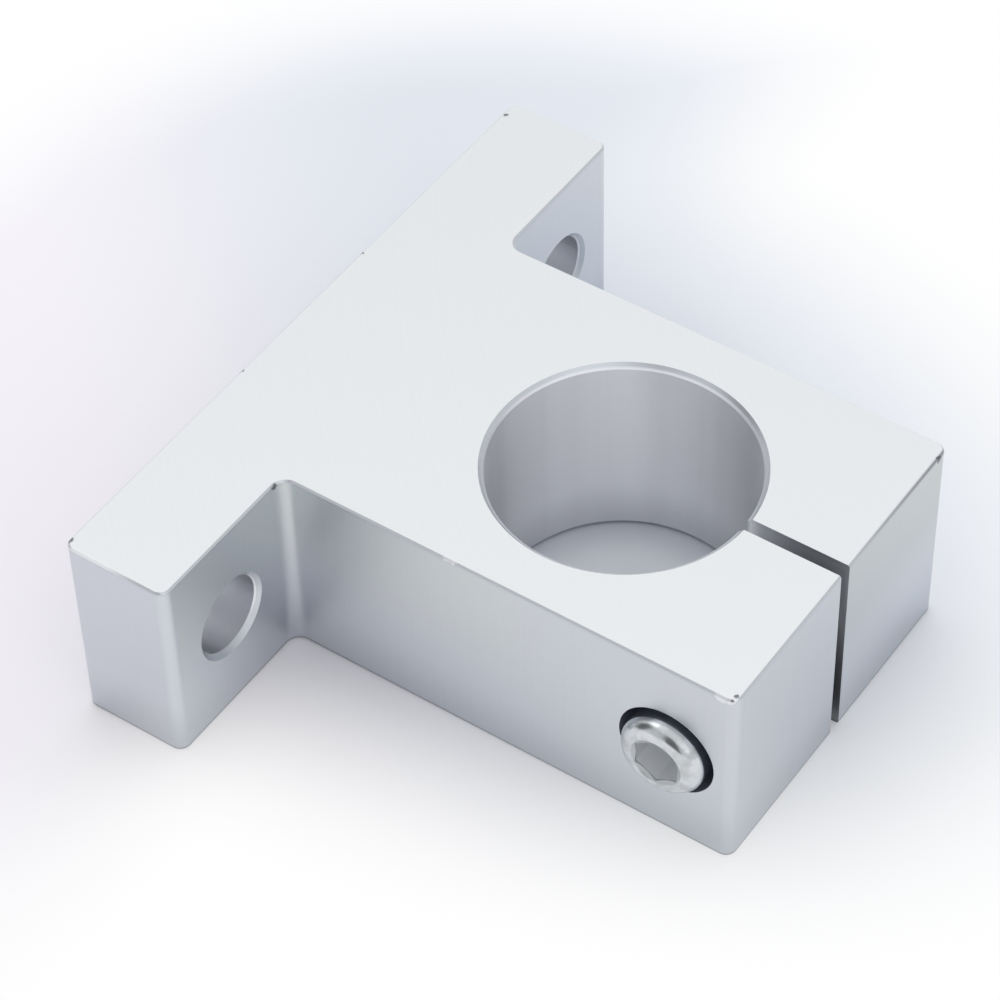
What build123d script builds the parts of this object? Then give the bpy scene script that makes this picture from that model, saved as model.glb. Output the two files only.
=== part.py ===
from build123d import *
import os

# Shaft support block: a T-shaped aluminium clamp that holds a 35 mm shaft, and its clamp screw.
# Z runs along the shaft, Y from the base face to the open end of the clamp, X towards the screw's head.
# The origin is on the shaft's axis, half way along the block. All sizes are in millimetres.

# Shaft bore
shaft_diameter = 35.0
bore_chamfer = 0.7

# Outline of the block, seen along the shaft
jaw_wall = 7.5  # beside the bore, each side
flange_length = 24.0  # how far each flange stands out from the body
flange_thickness = 15.5
centre_height = 50.0  # base face to shaft axis
end_wall = 2.7  # between the screw's recess and the open end
block_length = 30.0  # along the shaft
corner_radius = 1.5
root_radius = 2.0
edge_break = 0.25  # on the two sawn faces

# Mounting holes, one in the middle of each flange
hole_diameter = 11.0
hole_chamfer = 0.7  # where the bolts enter
hole_deburr = 0.3  # on the base face

# Slit that lets the bore close
slit_width = 2.0

# Clamp screw, M8 size
thread_diameter = 8.0
screw_length = 40.0  # under the head
tip_chamfer = 0.8
head_diameter = 11.7
head_height = 8.0
crown_radius = 2.0
bearing_chamfer = 0.3
socket_flats = 6.0
socket_depth = 4.2
socket_turn = 30.0  # degrees, so that two corners point along the shaft
mouth_diameter = 7.2  # the countersink that opens the socket
mouth_angle = 120.0
drill_point = 1.7  # the cone that the drill leaves below the hexagon

# Where the screw sits in the block
head_proud = 2.5  # how far the head stands out of the side face
head_clearance = 0.95  # radial, head to recess
shank_clearance = 0.2  # radial, shank to the hole in the near jaw
thread_clearance = 0.05  # radial, shank to the tapped hole in the far jaw
bore_to_screw_wall = 0.8  # between the shaft bore and the hole in the near jaw
tapped_chamfer = 0.6

# Places and radii that follow from the sizes above
bore_radius = shaft_diameter / 2
side_x = bore_radius + jaw_wall
flange_end_x = side_x + flange_length
hole_x = side_x + flange_length / 2
base_y = -centre_height
flange_y = base_y + flange_thickness
shank_radius = thread_diameter / 2
head_radius = head_diameter / 2
shank_hole_radius = shank_radius + shank_clearance
tapped_radius = shank_radius + thread_clearance
recess_radius = head_radius + head_clearance
recess_depth = head_height - head_proud
screw_y = bore_radius + bore_to_screw_wall + shank_hole_radius
end_y = screw_y + recess_radius + end_wall


def facing_x(x):
    """A plane across the screw's axis at that x, facing along +X."""
    return Plane(origin=(x, screw_y, 0), x_dir=(0, 1, 0), z_dir=(1, 0, 0))


def round_edges(builder, radius):
    """The circular edges of that radius, in order along X."""
    circles = builder.edges().filter_by(GeomType.CIRCLE)
    return circles.filter_by(lambda e: abs(e.radius - radius) < 1e-6).sort_by(Axis.X)


lower_face = Plane.XY.offset(-block_length / 2)
flange_face = Plane(origin=(0, flange_y, 0), x_dir=(1, 0, 0), z_dir=(0, 1, 0))
side_face = facing_x(side_x)
slit_middle = facing_x(0)

# The block: the T outline drawn along the shaft, then what is bored, drilled and slit
with BuildPart() as block:
    with BuildSketch(lower_face) as outline:
        with BuildLine():
            Polyline(
                (0, base_y),
                (flange_end_x, base_y),
                (flange_end_x, flange_y),
                (side_x, flange_y),
                (side_x, end_y),
                (0, end_y),
            )
            mirror(about=Plane.YZ)
        make_face()
        roots = outline.vertices().group_by(Axis.Y)[1].sort_by(Axis.X)[1:3]
        fillet(roots, root_radius)
        base_row, flange_row, *_, end_row = outline.vertices().group_by(Axis.Y)
        flange_tips = flange_row.sort_by(Axis.X)
        fillet([*base_row, flange_tips[0], flange_tips[-1], *end_row], corner_radius)
    extrude(amount=block_length)
    chamfer(block.faces().filter_by(Axis.Z).edges(), edge_break)

    # Shaft bore, its rims chamfered while they are still whole circles
    Hole(bore_radius)
    chamfer(round_edges(block, bore_radius), bore_chamfer)

    # Mounting holes through the flanges
    with Locations(flange_face):
        with Locations((-hole_x, 0), (hole_x, 0)):
            Hole(hole_diameter / 2, depth=flange_thickness)
    base_mouths, flange_mouths = round_edges(block, hole_diameter / 2).group_by(Axis.Y)
    chamfer(flange_mouths, hole_chamfer)
    chamfer(base_mouths, hole_deburr)

    # Recess and clearance hole in the near jaw, and the tapped hole right through the far jaw
    with Locations(side_face):
        CounterBoreHole(shank_hole_radius, recess_radius, recess_depth, depth=side_x)
    with Locations(slit_middle):
        Hole(tapped_radius, depth=side_x)
    chamfer(round_edges(block, tapped_radius)[0], tapped_chamfer)

    # Slit from the bore to the open end
    with BuildSketch(lower_face):
        with Locations((0, end_y / 2)):
            Rectangle(slit_width, end_y)
    extrude(amount=block_length, mode=Mode.SUBTRACT)
block.part.label = "block"

# The clamp screw: half its outline turned about its axis, from the seat under the head, then the socket
screw_seat = Plane(origin=(side_x - recess_depth, screw_y, 0))
head_top = facing_x(side_x + head_proud)

with BuildPart() as clamp_screw:
    with BuildSketch(screw_seat):
        with BuildLine():
            shank = Polyline(
                (-screw_length, 0),
                (-screw_length, shank_radius - tip_chamfer),
                (-screw_length + tip_chamfer, shank_radius),
                (0, shank_radius),
                (0, head_radius - bearing_chamfer),
                (bearing_chamfer, head_radius),
                (head_height - crown_radius, head_radius),
            )
            crown = RadiusArc(shank @ 1, (head_height, head_radius - crown_radius), crown_radius)
            Polyline(crown @ 1, (head_height, 0), shank @ 0)
        make_face()
    revolve(axis=Axis(screw_seat.origin, screw_seat.x_dir))
    with Locations(head_top):
        CounterSinkHole(socket_flats / 2, mouth_diameter / 2, socket_depth, mouth_angle)
    with BuildSketch(head_top):
        RegularPolygon(socket_flats / 2, 6, major_radius=False, rotation=socket_turn)
    extrude(amount=-socket_depth, mode=Mode.SUBTRACT)
    with Locations(head_top.offset(-socket_depth - drill_point / 2)):
        Cone(0, socket_flats / 2, drill_point, mode=Mode.SUBTRACT)
clamp_screw.part.label = "clamp_screw"

os.makedirs("parts", exist_ok=True)
export_step(block.part, "parts/block.step")
export_step(clamp_screw.part, "parts/clamp_screw.step")
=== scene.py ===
import bmesh
import bpy
import numpy as np
from bpy.props import FloatProperty, FloatVectorProperty, PointerProperty
from mathutils import Matrix, Vector


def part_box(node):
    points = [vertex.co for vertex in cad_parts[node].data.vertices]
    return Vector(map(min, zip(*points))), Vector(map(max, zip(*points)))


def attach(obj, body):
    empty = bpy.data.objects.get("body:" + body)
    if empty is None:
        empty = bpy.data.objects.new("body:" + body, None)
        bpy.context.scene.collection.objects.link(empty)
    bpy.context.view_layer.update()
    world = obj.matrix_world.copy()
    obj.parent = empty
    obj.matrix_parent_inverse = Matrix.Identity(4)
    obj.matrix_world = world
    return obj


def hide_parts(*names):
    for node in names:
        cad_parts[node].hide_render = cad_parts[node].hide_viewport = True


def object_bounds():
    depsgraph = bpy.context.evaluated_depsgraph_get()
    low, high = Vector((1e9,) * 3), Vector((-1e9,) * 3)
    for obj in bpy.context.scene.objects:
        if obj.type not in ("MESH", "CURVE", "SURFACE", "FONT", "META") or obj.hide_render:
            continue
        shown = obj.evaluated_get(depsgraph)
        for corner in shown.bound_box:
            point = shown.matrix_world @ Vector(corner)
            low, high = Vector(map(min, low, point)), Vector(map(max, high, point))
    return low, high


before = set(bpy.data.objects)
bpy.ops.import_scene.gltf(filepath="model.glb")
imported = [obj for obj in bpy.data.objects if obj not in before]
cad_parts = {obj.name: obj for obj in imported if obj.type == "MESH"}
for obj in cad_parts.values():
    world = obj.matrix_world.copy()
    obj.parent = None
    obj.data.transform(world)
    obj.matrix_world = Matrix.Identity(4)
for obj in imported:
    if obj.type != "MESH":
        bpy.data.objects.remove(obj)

bl_info = {
    "name": "Shaft Support Block",
    "version": (1, 0, 0),
    "blender": (4, 5, 0),
    "location": "3D View > Sidebar > Shaft Support",
    "description": "Dresses the packed clamp block and builds its M8 clamp screw and thread",
    "category": "Object",
}

CAD_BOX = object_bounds()
BLOCK_LOW, BLOCK_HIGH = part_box("block")
SCREW_LOW, SCREW_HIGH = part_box("clamp_screw")
MM = 0.001

# Level directions: towards the camera, and out past the near flange's corner
TO_CAMERA = (0.81, 0.58, 0)
PAST_CORNER = (0.81, -0.58, 0)

# Settings of a Map Range node that eases in and out
SMOOTHLY = {"interpolation_type": "SMOOTHSTEP"}


def linear(hex_colour):
    """Linear red, green and blue of an sRGB colour written as six hex digits."""
    srgb = np.array([int(hex_colour[i:i + 2], 16) for i in (0, 2, 4)]) / 255
    return tuple(np.where(srgb <= 0.04045, srgb / 12.92, ((srgb + 0.055) / 1.055) ** 2.4))


def colour(name, description, hex_colour):
    """A colour swatch whose default is that sRGB hex value."""
    return FloatVectorProperty(
        name=name, description=description, subtype="COLOR", size=4, min=0, max=1,
        default=(*linear(hex_colour), 1),
    )


def length(name, description, millimetres):
    """A length field, kept in metres, whose default is given in millimetres."""
    return FloatProperty(
        name=name, description=description, subtype="DISTANCE", unit="LENGTH", precision=5,
        default=millimetres * MM,
    )


def share(name, description, default, highest=1.0):
    """A plain number from 0 up."""
    return FloatProperty(name=name, description=description, default=default, min=0, max=highest)


# Sizes and colours that a user may change


class BlockFinish(bpy.types.PropertyGroup):
    """Where the block's surfaces lie, and their finish."""

    side_place: length("Side place", "Distance of the two side faces from the middle plane", 25.0)
    bore_radius: length("Bore radius", "Radius of the shaft bore", 17.5)
    hole_place: length("Hole place", "Distance of each mounting hole from the middle plane", 37.0)
    hole_radius: length("Hole radius", "Radius of the mounting holes", 5.5)
    recess_radius: length("Recess radius", "Radius of the recess for the screw's head", 6.8)
    slit_width: length("Slit width", "Width of the slit between the jaws", 2.0)
    anodised: colour("Anodised", "Clear anodised aluminium, as it reflects white", "d4d8de")
    # Painted light: a less blue tone on the upper part of the upright faces and on the far jaw's end, where
    # the floor's cool light shows less
    painted_upper_light: colour("Upper side", "The upright faces above the cool light from the floor", "d5dadb")
    sawn: colour("Sawn face", "The two sawn faces after anodising", "f5f7f9")
    bored: colour("Bored wall", "The wall of the shaft bore", "fafbff")
    # Painted shade: the recess's walls are darker than the anodised metal
    painted_recess_shade: colour("Recess wall", "The walls of the screw's recess", "9498a6")
    slit: colour("Slit wall", "The sawn walls of the slit", "eaecef")
    # Bright grey of the rubbed spots, also laid as a painted highlight along the edge at the near flange's
    # corner
    rubbed: colour("Rubbed", "Burrs at the corners that are rubbed bright", "f8f9fc")
    # Dull grey of the chipped spots, also laid thinly as painted shade: low on the upright faces, along the
    # foot, under the far jaw's top edge, and low in and beside the openings
    chips_and_painted_shade: colour("Nick", "Dull metal where the anodised skin is rubbed or chipped", "5d6066")
    die_line_width: length("Die line width", "Width of the lines that extrusion leaves along the block", 0.35)
    saw_line_width: length("Saw line width", "Spacing of the lines on the sawn faces", 0.5)
    bore_feed: length("Bore feed", "Spacing of the turning rings in the bore", 0.25)


class ScrewSizes(bpy.types.PropertyGroup):
    """Sizes and finish of the M8 clamp screw."""

    axis_y: length(
        "Axis height", "Distance of the screw's axis from the bore's", (SCREW_LOW.y + SCREW_HIGH.y) / 2 / MM
    )
    head_top: length("Head top", "Where the flat of the head lies along X", SCREW_HIGH.x / MM)
    head_radius: length("Head radius", "Radius of the head", (SCREW_HIGH.y - SCREW_LOW.y) / 2 / MM)
    head_height: length("Head height", "Height of the head", 8.0)
    crown_radius: length("Crown radius", "Radius of the rounded rim of the head", 2.0)
    socket_flats: length("Socket", "Width across the flats of the hexagon", 6.0)
    socket_depth: length("Socket depth", "Depth of the hexagon", 4.2)
    mouth_radius: length("Mouth radius", "Radius of the countersink that opens the socket", 3.6)
    drill_point: length("Drill point", "Depth of the cone below the hexagon", 1.7)
    shank_radius: length("Shank radius", "Radius of the plain shank and of the thread's crests", 4.0)
    core_radius: length("Core radius", "Radius at the roots of the thread", 3.233)
    shank_length: length("Length", "Length under the head", 40.0)
    threaded: length("Threaded length", "Length of the thread from the tip", 28.0)
    pitch: length("Pitch", "Pitch of the M8 coarse thread", 1.25)
    zinc: colour("Zinc", "Bright zinc plating", "d4d8dc")
    dull_zinc: colour("Dull zinc", "Blotches where the plating is thinner", "c2c6c8")
    socket_zinc: colour("Socket zinc", "The matt plating inside the socket", "eceef0")


class ThreadSizes(bpy.types.PropertyGroup):
    """Sizes of the thread that shows in the far jaw, past the screw's tip."""

    wall_radius: length("Wall radius", "Radius of the tapped hole in the block", 4.05)
    crest_radius: length("Crest radius", "Radius at the crests of the tapped thread", 3.38)
    outer_end: length("Outer end", "Where the thread starts, at the far side's chamfer", -24.3)
    inner_end: length("Inner end", "Where the shown thread stops, clear of the screw's tip", -21.1)


class StageSettings(bpy.types.PropertyGroup):
    """Floor, light and camera."""

    camera_place: FloatVectorProperty(
        name="Camera place", description="Where the camera stands", subtype="XYZ", unit="LENGTH", size=3,
        default=(0.261045, 0.168302, 0.344570),
    )
    camera_aim: FloatVectorProperty(
        name="Camera aim", description="The direction that the camera looks in", subtype="DIRECTION", size=3,
        default=(-0.5517, -0.3961, -0.73399),
    )
    camera_roll: FloatProperty(
        name="Camera roll", description="How far the camera leans to its right", subtype="ANGLE",
        default=np.radians(1.68),
    )
    lens: FloatProperty(
        name="Lens", description="Focal length for a 36 mm wide sensor", subtype="DISTANCE_CAMERA",
        unit="CAMERA", default=131.017,
    )
    floor_size: length("Floor size", "Side of the square floor", 6000.0)
    # Painted shade: the floor round the block is cooler and darker than the board further off
    floor_near_painted_shade: colour("Floor near", "The floor round the block", "dce0e7")
    # Painted light: the floor past the corner is lighter and warmer than round the block
    floor_corner: colour("Floor past the corner", "The floor out past the near flange's corner", "efecf1")
    floor_far: colour("Floor far", "The floor away from the block", "fdfcfe")
    room_colour: colour("Room colour", "Colour of the room's light", "fdfeff")
    room_light: share("Room light", "Strength of the white room", 0.97, 2.0)
    camera_side: share("Camera's side", "How bright the room is on the camera's side, as a share", 0.80)
    low_room: share("Low room", "How bright the lower part of the room shows in metal", 0.75)
    bright_room: share("Bright room", "Strength of the bright things in the room", 2.2, 4.0)
    dark_room: share("Dark room", "Strength of the dark things in the room", 0.16)
    lamp_power: FloatProperty(
        name="Softbox power", description="Power of the softbox overhead", unit="POWER", default=2.2, min=0
    )
    lamp_size: length("Softbox size", "Width of the round softbox", 900.0)
    lamp_place: FloatVectorProperty(
        name="Softbox place", description="Where the softbox hangs", subtype="XYZ", unit="LENGTH", size=3,
        default=(-0.35, -0.25, 0.90),
    )


# Materials


def add_node(tree, kind, feeds=(), **settings):
    """Adds a node with its settings and links.

    feeds lists what goes into the inputs in use, in their order, or maps some of them by name. Each is a
    value, an output, or a node, whose first output in use is meant.
    """
    made = tree.nodes.new(kind)
    for name, value in settings.items():
        setattr(made, name, value)
    if isinstance(feeds, dict):
        pairs = [(made.inputs[name], feed) for name, feed in feeds.items()]
    else:
        pairs = zip([socket for socket in made.inputs if socket.enabled], feeds)
    for socket, feed in pairs:
        if isinstance(feed, bpy.types.Node):
            feed = next(output for output in feed.outputs if output.enabled)
        if isinstance(feed, bpy.types.NodeSocket):
            tree.links.new(feed, socket)
        else:
            socket.default_value = feed
    return made


def new_material(name):
    """An empty node material with its tree."""
    material = bpy.data.materials.new(name)
    material.use_nodes = True
    material.node_tree.nodes.clear()
    return material, material.node_tree


def place_in_millimetres(tree):
    """The place on the object in millimetres."""
    place = add_node(tree, "ShaderNodeTexCoord").outputs["Object"]
    return add_node(tree, "ShaderNodeVectorMath", (place, 1 / MM), operation="SCALE")


# Ragged spots at the corners, as the photo shows them: their middles and radii in millimetres
CHIPPED = (
    ((23.95, 31.36, 15.0), 0.32),
    ((24.80, 31.40, 14.9), 0.34),
    ((47.8, -49.8, 14.9), 0.55),
    ((26.6, -34.4, 14.5), 0.55),
    ((-22.7, 32.0, 14.6), 0.60),
    ((12.9, -50.0, 14.9), 0.45),
    ((-13.2, -50.0, 14.9), 0.45),
    ((-46.3, -49.5, 14.9), 0.40),
)
RUBBED = (
    ((24.9, 29.9, 15.0), 1.15),
    ((24.6, 31.0, 15.0), 1.00),
    ((24.9, -9.5, 15.0), 0.70),
    ((24.9, -8.5, 15.0), 0.55),
)


def ragged_spots(tree, place, spots):
    """Mask that is 1 within the spots and fades at their edges, which noise makes ragged.

    The noise moves each point by up to about a third of a millimetre, and a spot is whole out to the solid
    share of its radius.
    """
    lumps_per_mm, swing, solid = 2.5, 0.7, 0.6
    mid_grey = (0.5, 0.5, 0.5)
    noise = add_node(tree, "ShaderNodeTexNoise", {"Vector": place, "Scale": lumps_per_mm, "Detail": 2.0})
    shift = add_node(tree, "ShaderNodeVectorMath", (noise.outputs["Color"], mid_grey), operation="SUBTRACT")
    shift = add_node(tree, "ShaderNodeVectorMath", (shift, swing), operation="SCALE")
    ragged = add_node(tree, "ShaderNodeVectorMath", (place, shift), operation="ADD")
    covered = 0.0
    for middle, radius in spots:
        distance = add_node(tree, "ShaderNodeVectorMath", (ragged, middle), operation="DISTANCE")
        spot = add_node(tree, "ShaderNodeMapRange", (distance, radius, radius * solid), **SMOOTHLY)
        covered = add_node(tree, "ShaderNodeMath", (spot, covered), operation="MAXIMUM")
    return covered


def block_zones(tree, place, finish, screw):
    """Masks of the block's zones, by name, from where a point lies in millimetres and how it faces.

    Each grows smoothly from 0, where its value is at clear, to 1, where it is at full.
    """
    x, y, z = add_node(tree, "ShaderNodeSeparateXYZ", (place,)).outputs
    normal = add_node(tree, "ShaderNodeTexCoord").outputs["Normal"]
    upward = add_node(tree, "ShaderNodeSeparateXYZ", (normal,)).outputs["Z"]
    sideways = add_node(tree, "ShaderNodeVectorMath", (place, TO_CAMERA), operation="DOT_PRODUCT")
    facing_up, from_middle, height, sideways = (
        add_node(tree, "ShaderNodeMath", (value,), operation="ABSOLUTE") for value in (upward, x, z, sideways)
    )

    # Distances from the axes of the bore, the screw and the nearer mounting hole
    across, around, beside = (
        add_node(tree, "ShaderNodeCombineXYZ", parts)
        for parts in ((x, y, 0.0), (0.0, y, z), (from_middle, 0.0, z))
    )
    from_bore, from_screw, from_hole = (
        add_node(tree, "ShaderNodeVectorMath", (flat, axis), operation="DISTANCE")
        for flat, axis in (
            (across, (0, 0, 0)),
            (around, (0, screw.axis_y / MM, 0)),
            (beside, (finish.hole_place / MM, 0, 0)),
        )
    )

    base, open_end = BLOCK_LOW.y / MM, BLOCK_HIGH.y / MM
    flange_end, top = BLOCK_HIGH.x / MM, BLOCK_HIGH.z / MM
    side, bore, hole = finish.side_place / MM, finish.bore_radius / MM, finish.hole_radius / MM
    recess, slit = finish.recess_radius / MM, finish.slit_width / 2 / MM
    zones = {
        name: add_node(tree, "ShaderNodeMapRange", (value, clear, full), **SMOOTHLY)
        for name, value, clear, full in (
            ("sawn", facing_up, 0.9, 0.98),
            ("not sawn", facing_up, 0.98, 0.9),
            ("upright", facing_up, 0.3, 0.1),
            # The openings, and the shade in them, which stands in for the photo's light
            ("bore", from_bore, bore + 0.4, bore + 0.1),
            ("bore sides", sideways, bore, bore * 0.25),
            ("bore foot", z, -6.0, 1.0 - top),
            ("recess", from_screw, recess + 0.15, recess + 0.05),
            ("inside", from_middle, side - 0.02, side - 0.4),
            ("slit", from_middle, slit + 0.06, slit + 0.02),
            ("past bore", y, bore - 0.5, bore - 0.3),
            ("slit foot", z, 4.0, 3.0 - top),
            ("hole", from_hole, hole + 0.25, hole + 0.1),
            ("hole foot", z, -1.0, 0.1 - hole),
            # The upright faces: the burr under the sawn edges, the line where the block stands, and the shade
            # low down and the less blue upper part, which stand in for the photo's light
            ("burr", height, top - 0.9, top - 0.4),
            ("foot", z, -5.0, 1.0 - top),
            # Painted shadow: a dark line low on the faces, where the block stands
            ("contact", z, 0.6 - top, 0.25 - top),
            ("upper", z, -3.0, 6.0),
            ("towards base", y, 8.0, -6.0),
            ("off flange end", x, flange_end - 1.4, flange_end - 2.4),
            ("off far flange", x, -side - 5.0, -side - 1.0),
            # The far jaw's end, in painted light and shade, the painted shadow of a burr under its upper
            # edge, and a painted highlight on the edge at the near flange's corner
            ("jaw end", y, open_end - 0.5, open_end - 0.1),
            ("far jaw", x, 0.5, -0.5),
            ("to corner", x, 4.0, 1.0 - side),
            ("top edge", z, top - 0.4, top - 0.22),
            # Painted highlight along the flange end's top edge, near the corner
            ("bright edge", x, flange_end - 0.4, flange_end - 0.25),
            ("near corner", y, base + 12.0, base + 6.0),
        )
    }

    # Each zone is kept within others. The order counts, because a zone that is narrowed narrows later ones
    for zone, *limits in (
        ("recess", "inside"),
        ("slit", "past bore", "upright"),
        ("burr", "upright"),
        ("hole foot", "hole"),
        ("slit foot", "slit"),
        ("bore sides", "bore"),
        ("bore foot", "bore"),
        ("foot", "upright"),
        ("contact", "not sawn"),
        ("bright edge", "near corner", "top edge"),
        ("jaw end", "far jaw"),
        ("top edge", "jaw end", "to corner"),
        ("upper", "upright"),
        ("jaw end", "upper"),
        ("upper", "towards base", "off flange end", "off far flange"),
    ):
        for limit in limits:
            zones[zone] = add_node(tree, "ShaderNodeMath", (zones[zone], zones[limit]), operation="MULTIPLY")
    zones["chipped"] = ragged_spots(tree, place, CHIPPED)
    zones["rubbed"] = ragged_spots(tree, place, RUBBED)
    return zones


def satin_anodised_aluminium(finish, screw):
    """Extruded 6000-series aluminium, sawn, bored and clear anodised to a satin.

    The eye gets a pale cool metal with soft, wide reflections: die lines along the extruded sides, arcs of
    a saw on the two sawn faces, fine rings in the bore, a duller burr line under the sawn edges, a dark
    recess and slit, and a few chipped spots at the corners. Painted shade darkens the recess, the lower parts
    of the openings and of the upright faces, the line where the block stands, the bore's sides and the far
    jaw's top edge. Painted light makes the upper faces less blue and brightens the edge at the near flange's
    corner, and faint painted reflections streak the bore.
    """
    material, tree = new_material("satin_anodised_extruded_aluminium")
    place = place_in_millimetres(tree)
    zones = block_zones(tree, place, finish, screw)

    # Lines in millimetres. Die lines run the whole length, so their noise is stretched along Z. The saw's
    # arcs are rings about the middle of a 300 mm blade. The bore's rings are stacked along Z. Real die lines
    # and rings are about 0.1 mm wide, drawn coarser here so that they show
    x, y, z = add_node(tree, "ShaderNodeSeparateXYZ", (place,)).outputs
    along = add_node(tree, "ShaderNodeVectorMath", (place, (1, 1, 0.01)), operation="MULTIPLY")
    across = add_node(tree, "ShaderNodeCombineXYZ", (x, y, 0.0))
    blade_middle = (-120, 95, 0)
    from_blade = add_node(tree, "ShaderNodeVectorMath", (across, blade_middle), operation="DISTANCE")
    arcs = add_node(tree, "ShaderNodeCombineXYZ", (from_blade, 0.0, 0.0))
    stacked = add_node(tree, "ShaderNodeCombineXYZ", (0.0, 0.0, z))
    band_width, grain_width, cloud_width = 4.5 * MM, 0.12 * MM, 9.0 * MM
    die_lines, saw_lines, rings, bands, grain, cloud = (
        add_node(tree, "ShaderNodeTexNoise", {"Vector": vector, "Scale": MM / width, "Detail": 2.0})
        for vector, width in (
            (along, finish.die_line_width),
            (arcs, finish.saw_line_width),
            (stacked, finish.bore_feed),
            (along, band_width),
            (place, grain_width),
            (place, cloud_width),
        )
    )
    lines = add_node(tree, "ShaderNodeMix", (zones["sawn"], die_lines, saw_lines), data_type="FLOAT")
    lines = add_node(tree, "ShaderNodeMix", (zones["bore"], lines, rings), data_type="FLOAT")
    # Painted reflections: faint darker streaks along the bore
    bands = add_node(tree, "ShaderNodeMapRange", (bands, 0.42, 0.68), **SMOOTHLY)
    zones["bore bands"] = add_node(tree, "ShaderNodeMath", (bands, zones["bore"]), operation="MULTIPLY")

    # Colour by zone, each laid over the ones before it as thickly as its share says
    tone = finish.anodised
    for zone, thickness, layer in (
        ("sawn", 1.0, finish.sawn),
        # Painted light: the upper faces and the far jaw's end less blue
        ("upper", 0.8, finish.painted_upper_light),
        # Painted shade low on the upright faces
        ("foot", 0.12, finish.chips_and_painted_shade),
        # Painted light and shade on the far jaw's end
        ("jaw end", 0.8, finish.painted_upper_light),
        ("jaw end", 0.1, finish.chips_and_painted_shade),
        ("bore", 1.0, finish.bored),
        # Painted shade in the recess
        ("recess", 1.0, finish.painted_recess_shade),
        ("slit", 1.0, finish.slit),
        # Painted shade low in the slit
        ("slit foot", 0.8, finish.chips_and_painted_shade),
        ("burr", 0.06, finish.chips_and_painted_shade),
        ("hole", 0.75, finish.bored),
        # Painted shade low in the holes, on the bore's sides and low in the bore
        ("hole foot", 0.3, finish.chips_and_painted_shade),
        ("bore sides", 0.5, finish.chips_and_painted_shade),
        ("bore foot", 0.22, finish.chips_and_painted_shade),
        # Painted reflections in the bore
        ("bore bands", 0.05, finish.chips_and_painted_shade),
        # Painted shadow along the foot
        ("contact", 0.5, finish.chips_and_painted_shade),
        # Painted shadow of a burr under the far jaw's top edge
        ("top edge", 0.5, finish.chips_and_painted_shade),
        # Painted highlight on the edge at the near flange's corner
        ("bright edge", 0.9, finish.rubbed),
        ("rubbed", 0.7, finish.rubbed),
        ("chipped", 0.8, finish.chips_and_painted_shade),
    ):
        amount = add_node(tree, "ShaderNodeMath", (zones[zone], thickness), operation="MULTIPLY")
        tone = add_node(tree, "ShaderNodeMix", (amount, tone, layer), data_type="RGBA")
    faint = add_node(tree, "ShaderNodeMapRange", (lines, 0.3, 0.7, 0.985, 1.0))
    tone = add_node(tree, "ShaderNodeMix", (1.0, tone, faint), data_type="RGBA", blend_type="MULTIPLY")

    # Relief in millimetres: lines of a micrometre or two, grain of one, chips a tenth deep
    relief = 0.0
    for layer, depth in ((lines, 0.0015), (grain, 0.0015), (zones["chipped"], -0.1)):
        relief = add_node(tree, "ShaderNodeMath", (layer, depth, relief), operation="MULTIPLY_ADD")
    bump = add_node(tree, "ShaderNodeBump", {"Height": relief, "Distance": MM})

    # Satin: rough enough to blur, under the clear anodised skin. The bore, the recess and the bright edge are
    # less metallic than the rest, matched to the photo, where they look paler and more even than bare metal.
    # The turned rings stretch the bore's reflections along its axis
    satin = add_node(tree, "ShaderNodeMapRange", (cloud, 0.0, 1.0, 0.36, 0.44))
    roughness = add_node(tree, "ShaderNodeMix", (zones["bore"], satin, 0.5), data_type="FLOAT")
    cloudy = add_node(tree, "ShaderNodeMath", (zones["bore"], zones["recess"]), operation="MAXIMUM")
    cloudy = add_node(tree, "ShaderNodeMath", (cloudy, zones["bright edge"]), operation="MAXIMUM")
    metal = add_node(tree, "ShaderNodeMix", (cloudy, 1.0, 0.4), data_type="FLOAT")
    ringed = add_node(tree, "ShaderNodeMath", (zones["bore"], 0.8), operation="MULTIPLY")
    upwards = add_node(tree, "ShaderNodeCombineXYZ", (0.0, 0.0, 1.0))
    shader = add_node(tree, "ShaderNodeBsdfPrincipled", {
        "Base Color": tone, "Metallic": metal, "Roughness": roughness, "Normal": bump,
        "Anisotropic": ringed, "Tangent": upwards, "Coat Weight": 0.15, "Coat Roughness": 0.3,
    })
    add_node(tree, "ShaderNodeOutputMaterial", (shader,))
    return material


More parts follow.
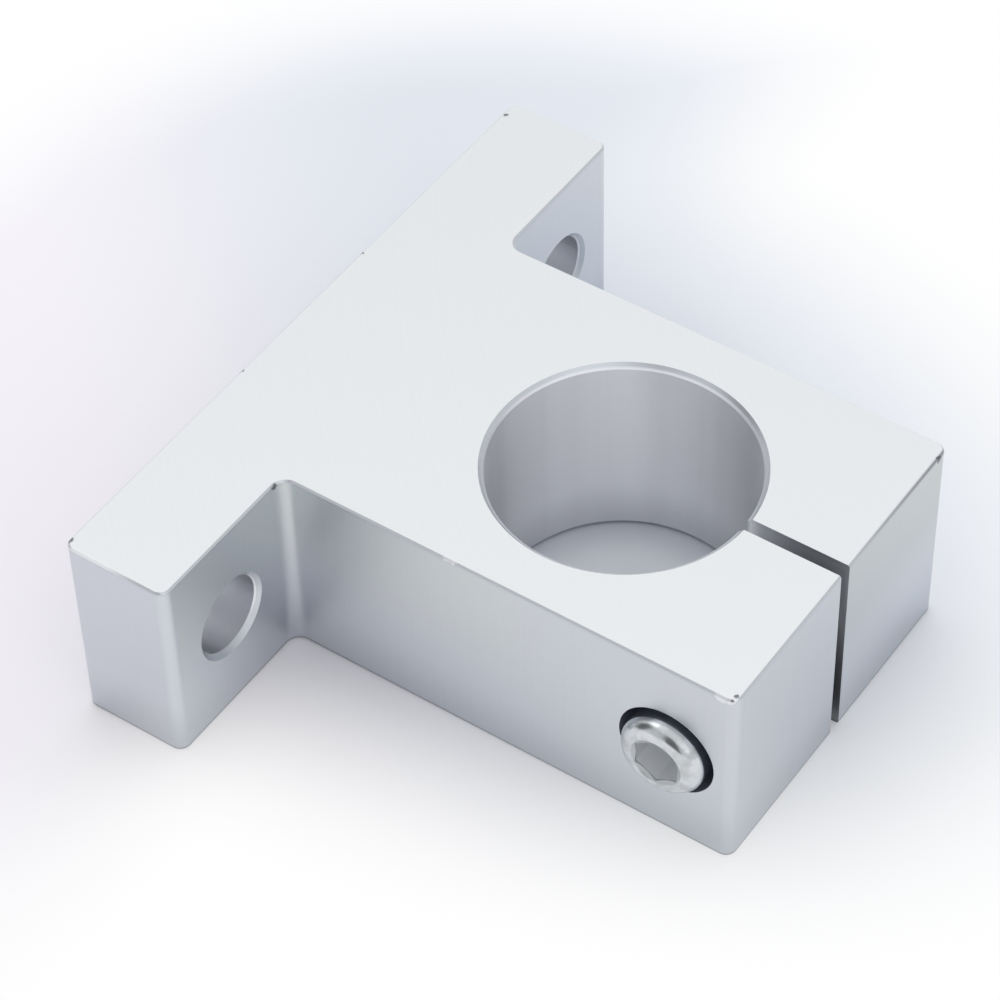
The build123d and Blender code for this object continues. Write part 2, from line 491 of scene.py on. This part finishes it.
def bright_zinc_steel(sizes):
    """Cold forged steel, plated with bright zinc.

    The eye gets a clear, slightly blue mirror with soft blotches where the plating is duller, a greyer
    countersink, the forging's fine grain, and a paler, matt socket, which is a little less metallic to match
    the photo.
    """
    material, tree = new_material("bright_zinc_plated_steel")
    place = place_in_millimetres(tree)
    x, y, z = add_node(tree, "ShaderNodeSeparateXYZ", (place,)).outputs
    blotch_width, grain_width = 1.6, 0.09
    cloud, grain = (
        add_node(tree, "ShaderNodeTexNoise", {"Vector": place, "Scale": 1 / width, "Detail": 2.0})
        for width in (blotch_width, grain_width)
    )
    around = add_node(tree, "ShaderNodeCombineXYZ", (0.0, y, z))
    axis = (0, sizes.axis_y / MM, 0)
    from_axis = add_node(tree, "ShaderNodeVectorMath", (around, axis), operation="DISTANCE")
    mouth, top, head = sizes.mouth_radius / MM, sizes.head_top / MM, sizes.head_height / MM
    zones = {
        name: add_node(tree, "ShaderNodeMapRange", (value, clear, full), **SMOOTHLY)
        for name, value, clear, full in (
            ("dull", cloud, 0.35, 0.7),
            ("mouth", from_axis, mouth + 0.05, mouth - 0.05),
            ("at top", x, top - 0.5, top - 0.4),
            ("in head", x, top - head, top - head + 1.5),
        )
    }
    for zone, limit in (("countersink", "at top"), ("socket", "in head")):
        zones[zone] = add_node(tree, "ShaderNodeMath", (zones["mouth"], zones[limit]), operation="MULTIPLY")
    tone = sizes.zinc
    for zone, layer in (
        ("dull", sizes.dull_zinc),
        ("socket", sizes.socket_zinc),
        ("countersink", sizes.dull_zinc),
    ):
        tone = add_node(tree, "ShaderNodeMix", (zones[zone], tone, layer), data_type="RGBA")
    polish = add_node(tree, "ShaderNodeMapRange", (cloud, 0.3, 0.7, 0.13, 0.26))
    roughness = add_node(tree, "ShaderNodeMix", (zones["socket"], polish, 0.5), data_type="FLOAT")
    metal = add_node(tree, "ShaderNodeMix", (zones["socket"], 1.0, 0.8), data_type="FLOAT")

    # Relief in millimetres: blotches up to 20 micrometres, so that the mirror wavers, and grain one or two
    relief = 0.0
    for layer, depth in ((cloud, 0.02), (grain, 0.0015)):
        relief = add_node(tree, "ShaderNodeMath", (layer, depth, relief), operation="MULTIPLY_ADD")
    bump = add_node(tree, "ShaderNodeBump", {"Height": relief, "Distance": MM})
    shader = add_node(tree, "ShaderNodeBsdfPrincipled", {
        "Base Color": tone, "Metallic": metal, "Roughness": roughness, "Normal": bump
    })
    add_node(tree, "ShaderNodeOutputMaterial", (shader,))
    return material


def rays_that_show(tree):
    """1 for the rays that bring the background to the eye: straight, mirrored, or through something clear."""
    path = add_node(tree, "ShaderNodeLightPath")
    seen = path.outputs["Is Camera Ray"]
    for kind in ("Is Glossy Ray", "Is Transmission Ray"):
        seen = add_node(tree, "ShaderNodeMath", (seen, path.outputs[kind]), operation="MAXIMUM")
    return seen


def matt_white_board(stage, finish):
    """Matt white board under the block.

    The eye gets a pale floor with the block's soft shadow, cool round the block, a little warmer past the
    near flange's corner, fading to plain white further off, and lighter where the camera looks through the
    bore. The cool darker tone round the block is painted shade, and the warmer floor past the corner and the
    lighter patch through the bore are painted light. The white is laid on for the rays that show the
    background, and the light that falls on the block isn't changed.
    """
    material, tree = new_material("matt_white_board")
    place = place_in_millimetres(tree)
    x, y, _ = add_node(tree, "ShaderNodeSeparateXYZ", (place,)).outputs
    across = add_node(tree, "ShaderNodeCombineXYZ", (x, y, 0.0))
    past_corner = add_node(tree, "ShaderNodeVectorMath", (across, PAST_CORNER), operation="DOT_PRODUCT")

    # Distances in millimetres from the shaded floor's middle, the bore's axis and the patch seen through it
    shade_middle, bore_axis, patch_middle = (-12, -32, 0), (0, 0, 0), (6.0, 4.3, 0)
    from_shade, from_bore, from_patch = (
        add_node(tree, "ShaderNodeVectorMath", (across, middle), operation="DISTANCE")
        for middle in (shade_middle, bore_axis, patch_middle)
    )

    # How far out a point lies from the middle of an oval round the base, as a share of the oval's radii
    oval_middle, oval_radii = (-15, -50, 0), (55, 95, 1)
    out = add_node(tree, "ShaderNodeVectorMath", (across, oval_middle), operation="SUBTRACT")
    out = add_node(tree, "ShaderNodeVectorMath", (out, oval_radii), operation="DIVIDE")
    out = add_node(tree, "ShaderNodeVectorMath", (out,), operation="LENGTH")
    bore = finish.bore_radius / MM
    zones = {
        name: add_node(tree, "ShaderNodeMapRange", (value, clear, full), **SMOOTHLY)
        for name, value, clear, full in (
            ("warm", past_corner, -10, 60),
            ("far", from_shade, 75, 130),
            ("white far off", from_shade, 78, 114),
            ("white round oval", out, 0.66, 1.42),
            ("clear of base", y, -60, -22),
            # Painted light: lighter patches on the floor under the bore and where the camera looks through it
            ("under bore", from_bore, bore, bore - 6.5),
            ("seen through bore", from_patch, 14, 5),
        )
    }
    tone = stage.floor_near_painted_shade
    for zone, layer in (("warm", stage.floor_corner), ("far", stage.floor_far)):
        tone = add_node(tree, "ShaderNodeMix", (zones[zone], tone, layer), data_type="RGBA")
    fibre_width = 1.5
    fibres = add_node(tree, "ShaderNodeTexNoise", {"Vector": place, "Scale": 1 / fibre_width})
    roughness = add_node(tree, "ShaderNodeMapRange", (fibres, 0.0, 1.0, 0.8, 0.95))
    board = add_node(tree, "ShaderNodeBsdfPrincipled", {
        "Base Color": tone, "Roughness": roughness, "Specular IOR Level": 0.2
    })
    white = add_node(tree, "ShaderNodeEmission", {"Color": (1, 1, 1, 1), "Strength": 1.0})

    # The white, as thick as the thickest of its patches at each place
    # Outside the oval round the base, and clear of the base, the white is laid whole; within the oval the
    # floor keeps its painted shade
    sides = (zones["white round oval"], zones["clear of base"])
    laid = add_node(tree, "ShaderNodeMath", sides, operation="MULTIPLY")
    # Far off the white is backdrop; under the bore and through it, the laid white is painted light
    for zone, thickness in (("white far off", 1.0), ("under bore", 0.12), ("seen through bore", 0.85)):
        patch = add_node(tree, "ShaderNodeMath", (zones[zone], thickness), operation="MULTIPLY")
        laid = add_node(tree, "ShaderNodeMath", (laid, patch), operation="MAXIMUM")
    laid = add_node(tree, "ShaderNodeMath", (laid, rays_that_show(tree)), operation="MULTIPLY")
    surface = add_node(tree, "ShaderNodeMixShader", (laid, board, white))
    add_node(tree, "ShaderNodeOutputMaterial", (surface,))
    return material


def white_room(stage):
    """World of a white room, a little dimmer on the camera's side.

    Straight rays see plain white. Mirrored ones see white that is dimmer low down, and the soft things that
    stand in the room: each covers the directions whose distance from its middle, with the upright part
    shrunk, is under its radius. The polished screw shows them as dark and bright patches.
    """
    room = bpy.data.worlds.new("white_room")
    room.use_nodes = True
    tree = room.node_tree
    tree.nodes.clear()
    direction = add_node(tree, "ShaderNodeTexCoord").outputs["Generated"]
    facing = add_node(tree, "ShaderNodeVectorMath", (direction, TO_CAMERA), operation="DOT_PRODUCT")
    dimmer = add_node(tree, "ShaderNodeMapRange", (facing, -0.1, 0.7), **SMOOTHLY)
    dim = stage.room_light * stage.camera_side
    light = add_node(tree, "ShaderNodeMix", (dimmer, stage.room_light, dim), data_type="FLOAT")
    upright = add_node(tree, "ShaderNodeSeparateXYZ", (direction,)).outputs["Z"]
    low = add_node(tree, "ShaderNodeMapRange", (upright, 0.80, 0.58), **SMOOTHLY)
    white = add_node(tree, "ShaderNodeMix", (low, 1.0, stage.low_room), data_type="FLOAT")
    mirrored = add_node(tree, "ShaderNodeMix", (rays_that_show(tree), light, white), data_type="FLOAT")
    for middle, shrink, radius, strength in (
        ((0.42, 0.70, 0.58), 1.00, 0.34, 1.15),
        ((0.14, -0.59, 0.80), 1.00, 0.20, stage.bright_room),
        ((0.93, 0.16, 0.25), 0.22, 0.28, stage.dark_room),
        ((0.46, -0.82, 0.33), 0.50, 0.27, stage.dark_room),
    ):
        away = add_node(tree, "ShaderNodeVectorMath", (direction, middle), operation="SUBTRACT")
        away = add_node(tree, "ShaderNodeVectorMath", (away, (1, 1, shrink)), operation="MULTIPLY")
        away = add_node(tree, "ShaderNodeVectorMath", (away,), operation="LENGTH")
        thing = add_node(tree, "ShaderNodeMapRange", (away, radius * 1.15, radius * 0.85), **SMOOTHLY)
        mirrored = add_node(tree, "ShaderNodeMix", (thing, mirrored, strength), data_type="FLOAT")
    seen = add_node(tree, "ShaderNodeLightPath").outputs["Is Camera Ray"]
    strength = add_node(tree, "ShaderNodeMix", (seen, mirrored, 1.0), data_type="FLOAT")
    background = add_node(tree, "ShaderNodeBackground", {"Color": stage.room_colour, "Strength": strength})
    add_node(tree, "ShaderNodeOutputWorld", (background,))
    return room


# Meshes


def grid_faces(rows, columns):
    """Quads of a grid whose last column joins its first.

    Each quad joins a point, the next one in its row, and the same two in the row after.
    """
    row, column = np.meshgrid(np.arange(rows - 1), np.arange(columns), indexing="ij")
    here = row * columns + column
    beside = row * columns + (column + 1) % columns
    return np.stack([here, beside, beside + columns, here + columns], -1).reshape(-1, 4)


def mesh_object(name, points, faces, material):
    """A mesh object from arrays of points, in metres, and faces; points in one place become one."""
    one_place, sharp_degrees = 1e-7, 32.0
    mesh = bpy.data.meshes.new(name)
    mesh.from_pydata(points.tolist(), [], [face for group in faces for face in group.tolist()])
    work = bmesh.new()
    work.from_mesh(mesh)
    bmesh.ops.remove_doubles(work, verts=work.verts, dist=one_place)
    bmesh.ops.recalc_face_normals(work, faces=work.faces)
    work.to_mesh(mesh)
    work.free()
    mesh.shade_smooth()
    mesh.set_sharp_from_angle(angle=np.radians(sharp_degrees))
    mesh.materials.append(material)
    made = bpy.data.objects.new(name, mesh)
    bpy.context.scene.collection.objects.link(made)
    return made


def turned_surface(stations, radii, angles, axis_y):
    """A surface turned about the screw's axis.

    The point in row i and column j lies at stations[i, j] along X, and at radii[i, j] from the axis
    in the direction of angles[j], counted from +Y towards +Z. Rows run over the whole outline.
    """
    y = axis_y + radii * np.cos(angles)
    z = radii * np.sin(angles)
    return np.stack([stations, y, z], -1).reshape(-1, 3)


def hexagon_radius(angles, flats):
    """Distance from the centre to a hexagon's edge.

    It is half the flats over the cosine of the angle from the middle of the nearest flat.
    """
    sixth = np.pi / 3
    return flats / 2 / np.cos((angles + sixth / 2) % sixth - sixth / 2)


def helical_ridge(
    start, end, pitch, axis_y, foot_radius, crest_radius, crest_half, steps_per_turn, taper_turns, limit=None
):
    """A thread's ridge: a trapezium carried along a helix.

    At angle a the trapezium is centred at start + pitch * a / (2 pi) along X. Its foot lies at foot_radius
    and its crest, twice crest_half wide, at crest_radius, with flanks at 30 degrees. The crest sinks almost
    to the foot over taper_turns at both ends. limit, where given, holds the crest under a radius that
    depends on x.
    """
    turns = (end - start) / pitch
    angle = np.linspace(0, turns * 2 * np.pi, int(turns * steps_per_turn) + 1)
    centre = start + pitch * angle / (2 * np.pi)
    gone = angle / (2 * np.pi)
    rise = np.clip(np.minimum(gone, turns - gone) / taper_turns, 0.0, 1.0)
    rise = rise * rise * (3 - 2 * rise)
    least_rise = 0.02
    crest = foot_radius + (crest_radius - foot_radius) * np.maximum(rise, least_rise)
    if limit is not None:
        crest = np.minimum(crest, limit(centre))
    flank = np.tan(np.radians(30))
    foot_half = crest_half + abs(crest_radius - foot_radius) * flank
    top_half = foot_half - np.abs(crest - foot_radius) * flank
    foot = np.full_like(crest, foot_radius)
    along = np.stack([centre - foot_half, centre - top_half, centre + top_half, centre + foot_half], -1)
    radius = np.stack([foot, crest, crest, foot], -1)
    points = np.stack([along, axis_y + radius * np.cos(angle)[:, None], radius * np.sin(angle)[:, None]], -1)
    rows = len(angle)
    ends = np.array([[0, 1, 2, 3], [4 * rows - 1, 4 * rows - 2, 4 * rows - 3, 4 * rows - 4]])
    return points.reshape(-1, 3), np.concatenate([grid_faces(rows, 4), ends])


def screw_mesh(sizes):
    """Points and faces of the clamp screw: one closed turned body and the thread's ridge on it.

    The body's rows run from the point of the socket up its walls, over the head, down to the seat and along
    the shank to the tip. Each is a place along X and the radius there, one for all angles or one for each.
    """
    top, crown = sizes.head_top, sizes.crown_radius
    seat = top - sizes.head_height
    tip = seat - sizes.shank_length
    runout = tip + sizes.threaded
    columns = 192
    angles = np.arange(columns) * 2 * np.pi / columns
    hexagon = hexagon_radius(angles, sizes.socket_flats)
    floor = top - sizes.socket_depth
    mouth = top - (sizes.mouth_radius - hexagon) / np.tan(np.radians(60))
    flat_radius = sizes.head_radius - crown
    edge_round, bearing, fillet, tip_round = 0.06 * MM, 0.3 * MM, 0.15 * MM, 0.2 * MM

    rows = [
        # Socket: the drill's cone, the six flats, and the countersink with its rounded edge
        (floor - sizes.drill_point, 0.0),
        (floor, sizes.socket_flats / 2),
        (floor, hexagon),
        *((floor + (mouth - floor) * part, hexagon) for part in np.linspace(0, 1, 9)[1:]),
        (top - edge_round, sizes.mouth_radius - 0.5 * edge_round),
        (top, sizes.mouth_radius + edge_round),
        # Head: the flat, a quarter circle for the crown, the side, and the chamfer at the seat
        *((top, radius) for radius in np.linspace(sizes.mouth_radius + 2 * edge_round, flat_radius, 4)),
        *(
            (top - crown * (1 - np.cos(turn)), flat_radius + crown * np.sin(turn))
            for turn in np.linspace(0, np.pi / 2, 25)[1:]
        ),
        *((x, sizes.head_radius) for x in np.linspace(top - crown, seat + bearing, 6)[1:]),
        (seat, sizes.head_radius - bearing),
        # Shank, and the core that the ridge stands on
        (seat, sizes.shank_radius + fillet),
        (seat - fillet, sizes.shank_radius),
        *((x, sizes.shank_radius) for x in np.linspace(seat - 2 * fillet, runout, 8)),
        (runout - sizes.pitch * 0.6, sizes.core_radius),
        *((x, sizes.core_radius) for x in np.linspace(runout - sizes.pitch, tip + tip_round, 12)),
        (tip, sizes.core_radius - tip_round),
        (tip, 0.0),
    ]
    ones = np.ones(columns)
    stations, radii = (np.array([row[part] * ones for row in rows]) for part in (0, 1))
    body = turned_surface(stations, radii, angles, sizes.axis_y)

    tip_chamfer, inside_cone, under_core = 0.8 * MM, 0.25 * MM, 0.04 * MM

    def under_cone(x):
        """The tip's 45 degree cone, which cuts the first thread down."""
        cone = sizes.shank_radius - tip_chamfer + (x - tip) - inside_cone
        return np.maximum(cone, sizes.core_radius - under_core)

    # The ridge stays clear of the tip's face, its foot in the core and its crest just inside the M8 size
    ridge, ridge_faces = helical_ridge(
        start=tip + 0.62 * MM,
        end=runout - 0.1 * sizes.pitch,
        pitch=sizes.pitch,
        axis_y=sizes.axis_y,
        foot_radius=sizes.core_radius - 0.05 * MM,
        crest_radius=sizes.shank_radius - 0.02 * MM,
        crest_half=sizes.pitch / 16,
        steps_per_turn=64,
        taper_turns=0.5,
        limit=under_cone,
    )
    return body, grid_faces(len(rows), columns), ridge, ridge_faces


# Floor, light and camera


def lay_floor(stage, finish):
    """The square floor at the height of the block's lowest face."""
    height = CAD_BOX[0].z
    half = stage.floor_size / 2
    corners = [(x * half, y * half, height) for x, y in ((-1, -1), (1, -1), (1, 1), (-1, 1))]
    mesh = bpy.data.meshes.new("floor")
    mesh.from_pydata(corners, [], [(0, 1, 2, 3)])
    mesh.materials.append(matt_white_board(stage, finish))
    floor = bpy.data.objects.new("floor", mesh)
    bpy.context.scene.collection.objects.link(floor)


def hang_softbox(stage):
    """The round softbox, aimed at the bore. Metal mirrors the room and not the softbox."""
    softbox = bpy.data.lights.new("softbox", "AREA")
    softbox.shape = "DISK"
    softbox.size = stage.lamp_size
    softbox.energy = stage.lamp_power
    lamp = bpy.data.objects.new("softbox", softbox)
    lamp.location = stage.lamp_place
    lamp.visible_glossy = False
    lamp.rotation_mode = "QUATERNION"
    lamp.rotation_quaternion = (-Vector(lamp.location)).to_track_quat("-Z", "Y")
    bpy.context.scene.collection.objects.link(lamp)


def stand_camera(stage):
    """The camera, which looks along its aim and leans to its right by its roll."""
    aim = Vector(stage.camera_aim).normalized()
    level = aim.cross(Vector((0, 0, 1))).normalized()
    upright = level.cross(aim)
    lean = Matrix.Rotation(stage.camera_roll, 3, aim)
    right, up = lean @ level, lean @ upright
    data = bpy.data.cameras.new("camera")
    data.lens = stage.lens
    data.sensor_width = 36.0
    data.clip_start, data.clip_end = 0.01, 20.0
    camera = bpy.data.objects.new("camera", data)
    camera.matrix_world = Matrix((right, up, -aim)).transposed().to_4x4()
    camera.location = stage.camera_place
    bpy.context.scene.collection.objects.link(camera)
    bpy.context.scene.camera = camera


# Operators


class SHAFTSUPPORT_OT_finish_block(bpy.types.Operator):
    """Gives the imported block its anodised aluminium"""

    bl_idname = "shaftsupport.finish_block"
    bl_label = "Finish the block"

    def execute(self, context):
        scene = context.scene
        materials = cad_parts["block"].data.materials
        materials.clear()
        materials.append(satin_anodised_aluminium(scene.shaft_block_finish, scene.shaft_screw_sizes))
        return {"FINISHED"}


class SHAFTSUPPORT_OT_build_screw(bpy.types.Operator):
    """Builds the M8 clamp screw, with its socket and thread, in place of the plain solid"""

    bl_idname = "shaftsupport.build_screw"
    bl_label = "Build the clamp screw"

    def execute(self, context):
        sizes = context.scene.shaft_screw_sizes
        body, body_faces, ridge, ridge_faces = screw_mesh(sizes)
        points = np.concatenate([body, ridge])
        faces = [body_faces, ridge_faces + len(body)]
        screw = mesh_object("cap_screw_m8", points, faces, bright_zinc_steel(sizes))
        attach(screw, "clamp_screw")
        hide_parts("clamp_screw")
        return {"FINISHED"}


class SHAFTSUPPORT_OT_cut_thread(bpy.types.Operator):
    """Builds the thread that shows in the far jaw, past the screw's tip"""

    bl_idname = "shaftsupport.cut_thread"
    bl_label = "Cut the far jaw's thread"

    def execute(self, context):
        sizes = context.scene.shaft_thread_sizes
        screw = context.scene.shaft_screw_sizes
        points, faces = helical_ridge(
            start=sizes.outer_end,
            end=sizes.inner_end,
            pitch=screw.pitch,
            axis_y=screw.axis_y,
            foot_radius=sizes.wall_radius + 0.05 * MM,
            crest_radius=sizes.crest_radius,
            crest_half=screw.pitch / 8,
            steps_per_turn=96,
            taper_turns=0.4,
        )
        aluminium = bpy.data.materials["satin_anodised_extruded_aluminium"]
        thread = mesh_object("far_jaw_thread", points, [faces], aluminium)
        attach(thread, "block")
        return {"FINISHED"}


class SHAFTSUPPORT_OT_set_stage(bpy.types.Operator):
    """Sets the floor, the room's light, the softbox and the camera"""

    bl_idname = "shaftsupport.set_stage"
    bl_label = "Set the stage"

    def execute(self, context):
        scene = context.scene
        lay_floor(scene.shaft_stage, scene.shaft_block_finish)
        scene.world = white_room(scene.shaft_stage)
        hang_softbox(scene.shaft_stage)
        stand_camera(scene.shaft_stage)
        scene.view_settings.view_transform = "Standard"
        return {"FINISHED"}


OPERATORS = (
    SHAFTSUPPORT_OT_finish_block,
    SHAFTSUPPORT_OT_build_screw,
    SHAFTSUPPORT_OT_cut_thread,
    SHAFTSUPPORT_OT_set_stage,
)
SETTINGS = {
    "shaft_block_finish": BlockFinish,
    "shaft_screw_sizes": ScrewSizes,
    "shaft_thread_sizes": ThreadSizes,
    "shaft_stage": StageSettings,
}


class SHAFTSUPPORT_PT_panel(bpy.types.Panel):
    """Lists the steps and their settings"""

    bl_idname = "SHAFTSUPPORT_PT_panel"
    bl_label = "Shaft support block"
    bl_space_type = "VIEW_3D"
    bl_region_type = "UI"
    bl_category = "Shaft Support"

    def draw(self, context):
        for operator in OPERATORS:
            self.layout.operator(operator.bl_idname)
        for name, group in SETTINGS.items():
            box = self.layout.box()
            for field in group.__annotations__:
                box.prop(getattr(context.scene, name), field)


def register():
    """Adds the settings, operators and panel to Blender."""
    for part in (*SETTINGS.values(), *OPERATORS, SHAFTSUPPORT_PT_panel):
        bpy.utils.register_class(part)
    for name, group in SETTINGS.items():
        setattr(bpy.types.Scene, name, PointerProperty(type=group))


def unregister():
    """Takes them out again."""
    for name in SETTINGS:
        delattr(bpy.types.Scene, name)
    for part in (SHAFTSUPPORT_PT_panel, *reversed(OPERATORS), *SETTINGS.values()):
        bpy.utils.unregister_class(part)


def main():
    """Builds everything in order."""
    register()
    bpy.ops.shaftsupport.finish_block()
    bpy.ops.shaftsupport.build_screw()
    bpy.ops.shaftsupport.cut_thread()
    bpy.ops.shaftsupport.set_stage()
    bpy.context.view_layer.update()


if __name__ == "__main__":
    main()
